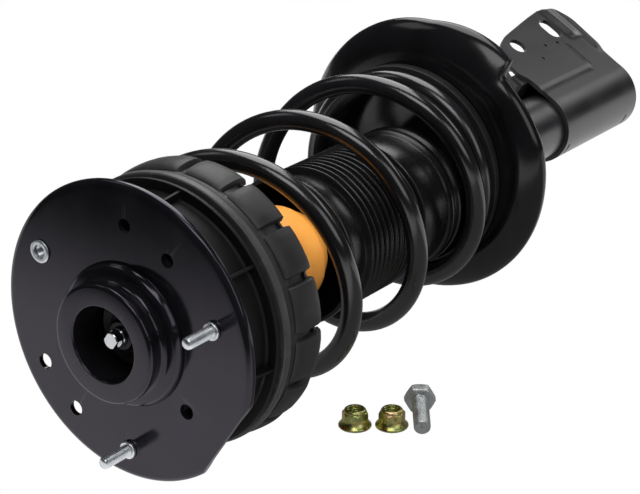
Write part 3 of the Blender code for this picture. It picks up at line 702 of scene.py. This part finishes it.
def upper_insulator():
    """A ring whose half-round lobes bulge over the wire, with slots between them and one tall tab."""
    sides = 640
    start, bore, inner_wall = INSULATOR_X, 62, 87
    arc_steps, curl_from = 14, 9
    tab_half_angle = 0.14
    loops = []
    for i in range(sides):
        angle = TAU * i / sides
        to_tab = abs((angle - TAB_ANGLE + math.pi) % TAU - math.pi)
        tab = 1 - smooth_step(0.055, 0.075, to_tab)
        from_slot = 0.5 - abs((angle * LOBES / TAU) % 1 - 0.5)
        if to_tab < tab_half_angle:
            from_slot = 0.5
        full = smooth_step(0.055, 0.085, from_slot)
        crown = 1 - 0.14 * (1 - smooth_step(0.06, 0.26, from_slot))
        slot = 1 - full
        loop = [(start, bore), (start, 84.5), (start + 0.6, 86.2), (start + 2.1, 87.2), (start + 5.7, 87.4)]
        top = 74 + 9 * full
        for k in range(arc_steps + 1):
            phase = math.radians(-78 + 150 * k / arc_steps)
            x = 70 + (14.6 * full + 9 * slot) * math.sin(phase) - 1.5 * slot
            bulge = 86.9 + (4.5 * crown * full - 2.2 * slot) * max(0, math.cos(phase))
            if k > curl_from:
                bulge -= (k - curl_from) ** 2 * 0.22 * full * (1 - tab)
            loop.append((x, bulge))
        end = top + TAB_RISE * tab
        loop += [(end, 87.4 - 3.4 * full + 2.8 * tab), (end, 85.4 - 2.6 * full + 3.0 * tab)]
        loop += [(top - 3, 86.3 + 0.6 * full), (65, inner_wall), (60, inner_wall), (57, 86.2)]
        loop += [(start + 6.5, 84.5), (start + 6.5, 73), (start + 5, 71), (start + 5, bore)]
        loops.append([(x, *polar(radius, angle)) for x, radius in loop])
    made = new_object("upper_insulator_look", ring_mesh(loops), FINISHES["rubber"], 42)
    settle(made, "spring_seat", "rubber", "upper_insulator")


def blend_rise(turns):
    return turns * turns / (2 * BLEND_TURNS)


def wire_x(turn):
    """The wire's X at a turn: closed at both ends, with an even pitch between."""
    closed = OPEN_FROM_X + CLOSED_PITCH * (turn - OPEN_FROM)
    extra = OPEN_PITCH - CLOSED_PITCH
    if turn <= OPEN_FROM:
        return closed
    if turn <= OPEN_FROM + BLEND_TURNS:
        return closed + extra * blend_rise(turn - OPEN_FROM)
    open_turns = min(turn, CLOSED_FROM) - OPEN_FROM - BLEND_TURNS / 2
    if turn <= CLOSED_FROM:
        return closed + extra * open_turns
    left = min(turn - CLOSED_FROM, BLEND_TURNS)
    return closed + extra * (open_turns + left - blend_rise(left))


def lean(x):
    return polar(LEAN_SLOPE * (x - LEAN_START_X), LEAN_ANGLE)


def coil_radius(turn):
    """The wire's distance from the spring's centre line, which shrinks over the last turns."""
    share = smooth_step(TAPER_FROM, TAPER_FROM + TAPER_TURNS, turn)
    return SPRING_RADIUS + (END_RADIUS - SPRING_RADIUS) * share


def wire_point(turn):
    x = wire_x(turn)
    y, z = polar(coil_radius(turn), START_ANGLE + TAU * turn)
    y_lean, z_lean = lean(x)
    return Vector((x, y + y_lean, z + z_lean))


def coil_spring():
    """Round wire with slightly rounded ends."""
    steps = round((LAST_TURN - FIRST_TURN) * 96)
    sides = 32
    end_rings = 3
    loops = []
    for i in range(-end_rings, steps + end_rings + 1):
        inside = min(steps, max(0, i))
        beyond = abs(i - inside)
        turn = FIRST_TURN + (LAST_TURN - FIRST_TURN) * inside / steps
        ahead = (wire_point(turn + 0.001) - wire_point(turn - 0.001)).normalized()
        centre = wire_point(turn) + ahead * (0.5 * math.copysign(beyond, i - inside) if beyond else 0)
        size = WIRE_RADIUS - 0.28 * beyond ** 2
        side = ahead.cross(Vector((1, 0, 0))).normalized()
        up = side.cross(ahead)
        loop = []
        for j in range(sides):
            across, along = polar(size, TAU * j / sides)
            loop.append(tuple(centre + side * across + up * along))
        loops.append(loop)
    made = new_object("coil_spring_look", ring_mesh(loops, closed=False), FINISHES["powder_coat"], 50)
    settle(made, "spring_seat", "powder_coat", "coil_spring")
    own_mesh(made)


def dust_boot():
    """A cup with a flared rim, a row of folds, and a plain sleeve with two beads."""
    length = BOOT_LENGTH
    outer = [(0, 49.6), (0.2, 51.0), (1.2, 51.9), (2.6, 51.9), (3.8, 51.0), (4.6, 49.4), (8, 48.2)]
    outer += [(14, 47.2), (20, 46.9)]
    first_rib, last_rib, per_rib = 22, 91, 14
    for i in range(BOOT_RIBS * per_rib + 1):
        x = first_rib + (last_rib - first_rib) * i / (BOOT_RIBS * per_rib)
        wave = 0.5 - 0.5 * math.cos(TAU * i / per_rib)
        outer.append((x, 46.8 + 5.0 * wave ** 0.75))
    outer += [(93, 47.2), (96, 48.2), (110, 48.4), (119, 48.4), (120, 48.9), (121.5, 50.6), (124, 51)]
    outer += [(126.4, 50.6), (127.6, 49.2), (129, 49.2), (130.2, 50.6), (132.5, 51), (135, 50.6)]
    outer += [(136.6, 49.4), (length, 48.6)]
    inner = [(length, 44.5), (92, 44.5), (22, 44.5), (16, 44.6), (12, 45.4), (4, 47.6), (1, 48.6)]
    made = lathe("dust_boot_look", outer + inner, FINISHES["boot_plastic"], 160, BOOT_START_X, 50)
    settle(made, "spring_seat", "dark_plastic", "dust_boot")
    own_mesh(made)


# --- strut body ----------------------------------------------------------------------------------


def strut_tube():
    end, outer, inner = TUBE_LENGTH, TUBE_RADIUS, TUBE_RADIUS - TUBE_WALL
    mouth = 18
    profile = rounded(
        [
            (0, mouth), (0, outer - 1.5), (1.5, outer), (end - 3, outer), (end, outer - 2.9), (end, 0),
            (end - 4, 0), (end - 4, inner), (TUBE_WALL, inner), (TUBE_WALL, mouth),
        ],
        [0.3, 0.6, 0.6, 1, 1, 0, 0, 1, 0.3, 0.3],
    )
    made = lathe("strut_tube_look", profile, FINISHES["satin_black"], 128, TUBE_START_X)
    settle(made, "strut", "satin_black", "strut_tube")


def rim_radius(angle):
    """The lower seat's edge: round, but for one lobe that ends in a step."""
    degrees = math.degrees(angle) % 360
    if not LOBE_START < degrees < LOBE_END:
        return RIM_RADIUS
    to_step = min(1, (degrees - LOBE_START) / (LOBE_STEP - LOBE_START))
    past_step = max(0, (degrees - LOBE_STEP) / (LOBE_END - LOBE_STEP))
    rise = LOBE_RISE * math.sin(to_step * math.pi / 2)
    dip = -LOBE_DIP * math.cos(past_step * math.pi / 2)
    step = smooth_step(LOBE_STEP - 1.5, LOBE_STEP + 2.5, degrees)
    return RIM_RADIUS + rise * (1 - step) + dip * step


def lower_seat():
    """The dished seat. A section is x, radius, share of the rim's offset and share of its lobe."""
    sections = (
        (316, 25.2, 0, 0), (316, 28.6, 0, 0), (316.8, 29.2, 0, 0), (320.5, 32, 0.05, 0),
        (323.6, 35, 0.1, 0), (324.9, 40, 0.25, 0), (325.2, 50, 0.4, 0), (325.2, 66, 0.65, 0),
        (325.2, 80, 0.9, 0), (325.8, 86, 0.97, 0.15), (327.6, 91, 1, 0.35), (330, 95, 1, 0.65),
        (332.4, 98.4, 1, 0.9), (335, 100.4, 1, 1), (337.2, 101, 1, 1), (338.9, 100.9, 1, 1),
        (339.6, 99.9, 1, 1), (338.9, 98.6, 1, 1), (336.6, 97, 1, 0.9), (333.6, 93.4, 1, 0.6),
        (330.8, 88.6, 1, 0.3), (328.8, 82, 0.9, 0), (328.4, 66, 0.65, 0), (328.2, 46, 0.35, 0),
        (328.6, 38, 0.2, 0), (331.5, 32.5, 0.05, 0), (337, 29.8, 0, 0), (345.4, 29, 0, 0),
        (346, 28.4, 0, 0), (346, 25.2, 0, 0),
    )
    sides = 288
    loops = []
    for x, radius, share, reach in sections:
        loop = []
        for i in range(sides):
            angle = TAU * i / sides
            extra = reach * (rim_radius(angle) - RIM_RADIUS)
            y, z = polar(radius + extra, angle)
            centre_y, centre_z = share * RIM_CENTRE[0], share * RIM_CENTRE[1]
            loop.append((x + RIM_SLOPE * extra, y + centre_y, z + centre_z))
        loops.append(loop)
    made = new_object("lower_spring_seat_look", ring_mesh(loops), FINISHES["seat_black"], 55)
    settle(made, "strut", "gloss_black", "lower_spring_seat")


def lower_insulator():
    """The pad under the last turn: its upper face climbs with the wire."""
    steps = 160
    floor_x = PAD_FLOOR_X
    turns = 0.95
    y_lean, z_lean = lean(floor_x)
    loops = []
    for i in range(steps + 1):
        turn = LAST_TURN - turns + turns * i / steps
        top = min(wire_x(turn) + WIRE_RADIUS + 0.3, floor_x - 0.4)
        angle = START_ANGLE + TAU * turn
        inner, outer = coil_radius(turn) - 7, coil_radius(turn) + 7
        corners = [(top, inner), (top, outer), (floor_x, outer), (floor_x, inner)]
        section = rounded(corners, 0.5, 3)
        loop = []
        for x, radius in section:
            y, z = polar(radius, angle)
            loop.append((x, y + y_lean, z + z_lean))
        loops.append(loop)
    made = new_object("lower_insulator_look", ring_mesh(loops, closed=False), FINISHES["rubber"], 50)
    settle(made, "strut", "rubber", "lower_insulator")


def bracket_path():
    """Places along the bent sheet as (along the cheek, across, outward direction), outer side."""
    reach = 90
    straight = 46
    bends = 44
    path = [(reach - reach * i / straight, BRACKET_RADIUS, 90) for i in range(straight)]
    for i in range(bends + 1):
        turn = 90 + 180 * i / bends
        along, across = polar(BRACKET_RADIUS, math.radians(turn))
        path.append((along, across, turn))
    path += [(reach * i / straight, -BRACKET_RADIUS, 270) for i in range(1, straight + 1)]
    return path


def press(x, along):
    """How far a cheek is pressed out of flat: its lip, the groove beside it, a pad's edge and a crease."""
    if along < 6:
        return 0
    lip = 1.9 * smooth_step(593, 599, x) * smooth_step(20, 30, along)
    groove = -1.7 * smooth_step(579, 584, x) * (1 - smooth_step(592, 597, x))
    groove *= smooth_step(42, 50, along)
    pad_edge = 0.9 * (1 - abs(x - 568) / 2.4) if abs(x - 568) < 2.4 else 0
    pad_edge *= smooth_step(14, 18, along) * (1 - smooth_step(37, 41, along))
    crease = -0.5 * (1 - abs(along - 13) / 2.5) if abs(along - 13) < 2.5 and x < 566 else 0
    return lip + groove + pad_edge + crease


def knuckle_bracket():
    """A pressed sheet bent round the tube, trimmed to its outline and pierced."""
    first_x, last_x = 476, 608
    columns = 84
    loops = []
    path = bracket_path()
    turn = Matrix.Rotation(BRACKET_ANGLE, 4, "X")
    for i in range(columns + 1):
        x = first_x + (last_x - first_x) * i / columns
        outer, inner = [], []
        for along, across, direction in path:
            out_y, out_z = polar(1, math.radians(direction))
            shift = press(x, along) if direction in (90, 270) else 0
            outer.append(turn @ Vector((x, along + shift * out_y, across + shift * out_z)))
            depth = shift - BRACKET_SHEET
            inner.append(turn @ Vector((x, along + depth * out_y, across + depth * out_z)))
        loops.append([tuple(p) for p in outer + inner[::-1]])
    made = new_object("knuckle_bracket_look", ring_mesh(loops, closed=False), FINISHES["satin_black"], 30)
    outline = rounded(BRACKET_OUTLINE, BRACKET_CORNERS, 6)
    shape = bmesh.new()
    add_prism(shape, outline, -50, 50, turn)
    combine(made, shape, "INTERSECT", 30)
    holes = bmesh.new()
    for x, along, slot in BOLT_HOLES:
        points = []
        sides = 56
        for i in range(sides):
            angle = TAU * (i + 0.5) / sides
            stretch = math.copysign(slot / 2, math.sin(angle))
            a, b = polar(BOLT_HOLE_RADIUS, angle)
            points.append((x + a, along + stretch + b))
        add_prism(holes, points, -50, 50, turn)
    small = round_outline(SMALL_HOLE_RADIUS, 20)
    for x, along in SMALL_HOLES:
        add_prism(holes, [(x + a, along + b) for a, b in small], BRACKET_RADIUS - 1, 40, turn)
    slit_turn = Matrix.Rotation(SLIT_ANGLE - math.radians(90), 4, "X")
    for x in SLITS_X:
        slit = [(x - 1.2, -5), (x + 1.2, -5), (x + 1.2, 5), (x - 1.2, 5)]
        add_prism(holes, slit, BRACKET_RADIUS - 1.2, 40, slit_turn)
    combine(made, holes, smooth_angle=30)
    soften(made, 0.4, 2, 50)
    settle(made, "strut", "satin_black", "knuckle_bracket")


# --- loose fasteners -----------------------------------------------------------------------------


def flange_nut(name, node, body, x, y, turn):
    """A flange lock nut, built along X and then stood on its flange."""
    flange = rounded(
        [
            (0, 5), (0, 10.5), (0.6, 11), (1.5, 11), (2.9, 9.6), (5, 8.4), (9, 7.9), (12, 7.3),
            (12.8, 6.4), (12.8, 5),
        ],
        [0.2, 0.2, 0.3, 0.5, 0.8, 1, 1, 0.6, 0.5, 0.3],
    )
    made = lathe(name, flange, FINISHES["yellow_zinc"], 96)
    body_hex = nut_mesh(NUT_FLATS, 9.6)
    bmesh.ops.translate(body_hex, verts=body_hex.verts, vec=(1.2 * MM, 0, 0))
    combine(made, body_hex, "UNION", 28)
    combine(made, thread_mesh(5.45, 0.75, 1.5, -3, 16, 40), "DIFFERENCE", 28)
    soften(made, 0.15)
    stand = Matrix.Translation((x * MM, y * MM, FLOOR_Z * MM)) @ Matrix.Rotation(turn, 4, "Z")
    place(made, stand @ Matrix.Rotation(math.radians(-90), 4, "Y"))
    settle(made, body, "yellow_zinc", node)


def loose_bolt():
    """A hexagon bolt with a shallow dish in its head, lying on its head and its tip."""
    shank = thread_mesh(BOLT_RADIUS, 0.85, 1.75, -39.2, -7.0, 56)
    made = new_object("loose_bolt_look", shank, FINISHES["dull_zinc"], 60)
    place(made, Matrix.Rotation(math.pi, 4, "Z"))
    combine(made, nut_mesh(BOLT_HEAD_FLATS, BOLT_HEAD_HEIGHT), "UNION", 28)
    dish = [(-1, 0), (-1, 6.2), (0.35, 5.8), (0.35, 0)]
    combine(made, lathe_mesh(dish, 48), "DIFFERENCE", 28)
    soften(made, 0.15)
    turn = Euler((0, BOLT_PITCH, BOLT_TURN)).to_matrix().to_4x4()
    where = Matrix.Translation(Vector((*BOLT_PLACE, FLOOR_Z + BOLT_AXIS_HEIGHT)) * MM)
    place(made, where @ turn)
    settle(made, "bolt", "zinc", "loose_bolt")


def carried_over():
    """CAD nodes that keep their shape get the same finishes as the rest."""
    finishes = {
        "inner_sleeve": "black_oxide", "mount_bushing": "rubber", "rod_washer": "black_oxide",
        "bearing_upper_race": "steel", "bearing_cage": "dark_plastic", "bearing_lower_race": "steel",
        "piston": "steel", "piston_band": "dark_plastic", "piston_nut": "zinc",
        "rebound_stop": "rubber", "rod_seal": "rubber", "rod_guide": "steel", "pressure_tube": "bare_steel",
        "base_valve": "steel", "strike_cap": "dark_plastic", "bracket_brace": "satin_black",
    }
    for node, finish in finishes.items():
        obj = frame["nodes"][node]
        obj.data.materials.clear()
        obj.data.materials.append(FINISHES[finish])


# --- stage ---------------------------------------------------------------------------------------


def floor():
    """A white sweep. What it gives to reflections is darker before the plate and under the spring."""
    bm = bmesh.new()
    low, high, z = -7.0, 9.0, (FLOOR_Z - 0.6) * MM
    corners = ((low, low, z), (high, low, z), (high, high, z), (low, high, z))
    bm.faces.new([bm.verts.new(corner) for corner in corners])
    mesh = bpy.data.meshes.new("floor")
    bm.to_mesh(mesh)
    bm.free()
    made = bpy.data.objects.new("floor", mesh)
    bpy.context.scene.collection.objects.link(made)
    mat = bpy.data.materials.new("floor")
    mat.use_nodes = True
    nodes, links = mat.node_tree.nodes, mat.node_tree.links
    nodes.remove(nodes["Principled BSDF"])
    coords = nodes.new("ShaderNodeTexCoord")
    split = nodes.new("ShaderNodeSeparateXYZ")
    links.new(coords.outputs["Object"], split.inputs[0])
    along = nodes.new("ShaderNodeMapRange")
    along.inputs["From Min"].default_value = -0.4
    along.inputs["From Max"].default_value = 0.6
    links.new(split.outputs["X"], along.inputs["Value"])
    fade = nodes.new("ShaderNodeValToRGB")
    fade.color_ramp.interpolation = "EASE"
    elements = fade.color_ramp.elements
    stops = ((0.04, 0.02), (0.27, 1.0), (0.38, 1.0), (0.46, 0.25), (0.78, 0.25), (0.88, 1.0))
    while len(elements) < len(stops):
        elements.new(0.5)
    for element, (position, grey) in zip(elements, stops):
        element.position = position
        element.color = (grey, grey, grey, 1)
    links.new(along.outputs["Result"], fade.inputs["Fac"])
    glow = nodes.new("ShaderNodeEmission")
    links.new(fade.outputs["Color"], glow.inputs["Strength"])
    white = nodes.new("ShaderNodeEmission")
    white.inputs["Strength"].default_value = 1.0
    path = nodes.new("ShaderNodeLightPath")
    mix = nodes.new("ShaderNodeMixShader")
    links.new(path.outputs["Is Camera Ray"], mix.inputs["Fac"])
    links.new(glow.outputs[0], mix.inputs[1])
    links.new(white.outputs[0], mix.inputs[2])
    links.new(mix.outputs[0], nodes["Material Output"].inputs["Surface"])
    mesh.materials.append(mat)


def world():
    made = bpy.data.worlds.new("studio")
    bpy.context.scene.world = made
    made.use_nodes = True
    nodes, links = made.node_tree.nodes, made.node_tree.links
    dim = nodes["Background"]
    dim.inputs["Color"].default_value = (0.9, 0.95, 1.0, 1)
    dim.inputs["Strength"].default_value = 0.05
    white = nodes.new("ShaderNodeBackground")
    white.inputs["Color"].default_value = (1, 1, 1, 1)
    white.inputs["Strength"].default_value = 1.0
    path = nodes.new("ShaderNodeLightPath")
    mix = nodes.new("ShaderNodeMixShader")
    links.new(path.outputs["Is Camera Ray"], mix.inputs["Fac"])
    links.new(dim.outputs[0], mix.inputs[1])
    links.new(white.outputs[0], mix.inputs[2])
    links.new(mix.outputs[0], nodes["World Output"].inputs["Surface"])


def softbox(name, direction, distance, size, radiance):
    """A rectangular light that faces the strut's middle."""
    light = bpy.data.lights.new(name, "AREA")
    light.shape = "RECTANGLE"
    light.size, light.size_y = size
    light.energy = radiance * math.pi * size[0] * size[1]
    made = bpy.data.objects.new(name, light)
    towards = Vector(direction).normalized()
    made.location = Vector((0.25, 0, 0)) + towards * distance
    made.rotation_mode = "QUATERNION"
    made.rotation_quaternion = towards.to_track_quat("Z", "Y")
    made.visible_camera = False
    bpy.context.scene.collection.objects.link(made)
    return made


def lights():
    for box in SOFTBOXES:
        softbox(*box)
    key = softbox(*FOAM_KEY)
    only = bpy.data.collections.new("foam_only")
    only.objects.link(bpy.data.objects["bump_stop_look"])
    key.light_linking.receiver_collection = only


def camera():
    data = bpy.data.cameras.new("camera")
    data.sensor_width = 36
    data.lens = 112.5
    data.clip_start, data.clip_end = 0.05, 60
    made = bpy.data.objects.new("camera", data)
    right = Vector((0.59112, -0.80659, 0))
    up = Vector((0.30096, 0.22056, 0.92778))
    back = Vector((-0.74833, -0.54843, 0.37313))
    made.matrix_world = Matrix(
        (
            (right.x, up.x, back.x, -0.8192),
            (right.y, up.y, back.y, -0.7468),
            (right.z, up.z, back.z, 0.5000),
            (0, 0, 0, 1),
        )
    )
    bpy.context.scene.collection.objects.link(made)
    bpy.context.scene.camera = made


def main():
    mount_plate()
    mount_boss()
    for i, (radius, angle) in enumerate(STUDS):
        stud(f"mount_stud_{i + 1}_look", f"mount_stud_{i + 1}", radius, angle)
    threaded_insert()
    bearing_housing()
    rod_fastening()
    bump_stop()
    upper_seat()
    upper_insulator()
    coil_spring()
    dust_boot()
    strut_tube()
    lower_seat()
    lower_insulator()
    knuckle_bracket()
    for i, (x, y) in enumerate(NUT_PLACES):
        turn = math.radians(20 + 25 * i)
        flange_nut(f"flange_nut_{i + 1}_look", f"flange_nut_{i + 1}", f"nut_{i + 1}", x, y, turn)
    loose_bolt()
    carried_over()
    floor()
    world()
    lights()
    camera()
    bpy.context.scene.view_settings.view_transform = "Standard"


main()
